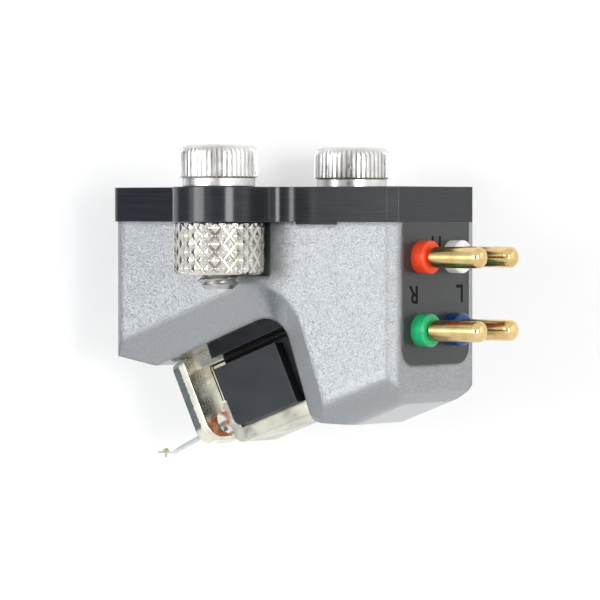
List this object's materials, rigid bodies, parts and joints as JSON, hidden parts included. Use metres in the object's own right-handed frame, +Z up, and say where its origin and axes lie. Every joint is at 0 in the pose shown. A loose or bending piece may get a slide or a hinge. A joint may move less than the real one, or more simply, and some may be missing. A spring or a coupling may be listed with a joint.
{
  "type": "phono cartridge",
  "caption": "Moving-coil phono cartridge with a bevelled silver housing, black mounting plate, knurled mounting screws, colour-coded gold output pins and a sprung stylus on a cantilever.",
  "frame": {"origin": "midway between the two screw axes, on the mounting plate's top face where a headshell sits", "axes": "+X to the rear along the output pins, +Z up along the screws out of the top face, +Y across the two screws to the right-hand side; the stylus points down at the front"},
  "size_m": [0.027, 0.0182, 0.0195],
  "materials": {
    "silver_shell": "bead-blasted silver grey",
    "black_plate": "satin black anodised",
    "black_gloss": "gloss",
    "collar_red": "gloss",
    "collar_green": "gloss",
    "collar_white": "gloss",
    "collar_blue": "gloss",
    "gold_pin": "polished, gold-plated",
    "nickel_screw": "polished, nickel-plated",
    "nickel_nut": "knurled, nickel-plated",
    "black_magnet": "satin black",
    "black_holder": "matt",
    "nickel_yoke": "polished, nickel-plated",
    "steel": "bright",
    "rubber": "matt",
    "white_former": "matt",
    "copper": "enamelled wire",
    "cantilever_metal": "satin",
    "diamond": "polished",
    "glue": "gloss"
  },
  "bodies": {
    "housing": {"body_shell": "silver_shell", "mounting_plate": "black_plate", "terminal_plate": "black_gloss", "collar_right_signal": "collar_red", "pin_right_signal": "gold_pin", "collar_right_return": "collar_green", "pin_right_return": "gold_pin", "collar_left_signal": "collar_white", "pin_left_signal": "gold_pin", "collar_left_return": "collar_blue", "pin_left_return": "gold_pin", "magnet": "black_magnet", "generator_holder": "black_holder", "front_yoke": "nickel_yoke", "lower_yoke": "nickel_yoke", "set_screw": "steel", "tie_wire": "steel", "coil_leads": "copper"},
    "suspension": {"damper": "rubber"},
    "stylus_assembly": {"coil_former": "white_former", "windings_left": "copper", "windings_right": "copper", "cantilever": "cantilever_metal", "stylus_tip": "diamond", "tip_adhesive": "glue"},
    "nut_left": {"knurled_nut_left": "nickel_nut"},
    "nut_right": {"knurled_nut_right": "nickel_nut"},
    "screw_left": {"cap_screw_left": "nickel_screw"},
    "screw_right": {"cap_screw_right": "nickel_screw"}
  },
  "joints": [
    {"name": "stylus_lateral", "type": "hinge", "parent": "housing", "child": "suspension", "pos_m": [-0.00386, 0, -0.01406], "axis": [-0.4226, 0, 0.9063], "range_deg": [-3, 3], "stiffness_Nm_per_rad": 0.0026},
    {"name": "stylus_vertical", "type": "hinge", "parent": "suspension", "child": "stylus_assembly", "pos_m": [-0.00386, 0, -0.01406], "axis": [0, 1, 0], "range_deg": [-3, 3], "stiffness_Nm_per_rad": 0.0026},
    {"name": "nut_turn_left", "type": "hinge", "parent": "housing", "child": "nut_left", "pos_m": [0, -0.00635, -0.00369], "axis": [0, 0, -1], "range_deg": [0, 2521]},
    {"name": "screw_rise_left", "type": "slide", "parent": "housing", "child": "screw_left", "axis": [0, 0, 1], "range_m": [0, 0.00315]},
    {"name": "nut_turn_right", "type": "hinge", "parent": "housing", "child": "nut_right", "pos_m": [0, 0.00635, -0.00369], "axis": [0, 0, -1], "range_deg": [0, 2521]},
    {"name": "screw_rise_right", "type": "slide", "parent": "housing", "child": "screw_right", "axis": [0, 0, 1], "range_m": [0, 0.00315]}
  ],
  "couplings": [
    {"joint": "nut_turn_left", "follows": "screw_rise_left", "rad_per_m": 13963},
    {"joint": "nut_turn_right", "follows": "screw_rise_right", "rad_per_m": 13963}
  ]
}
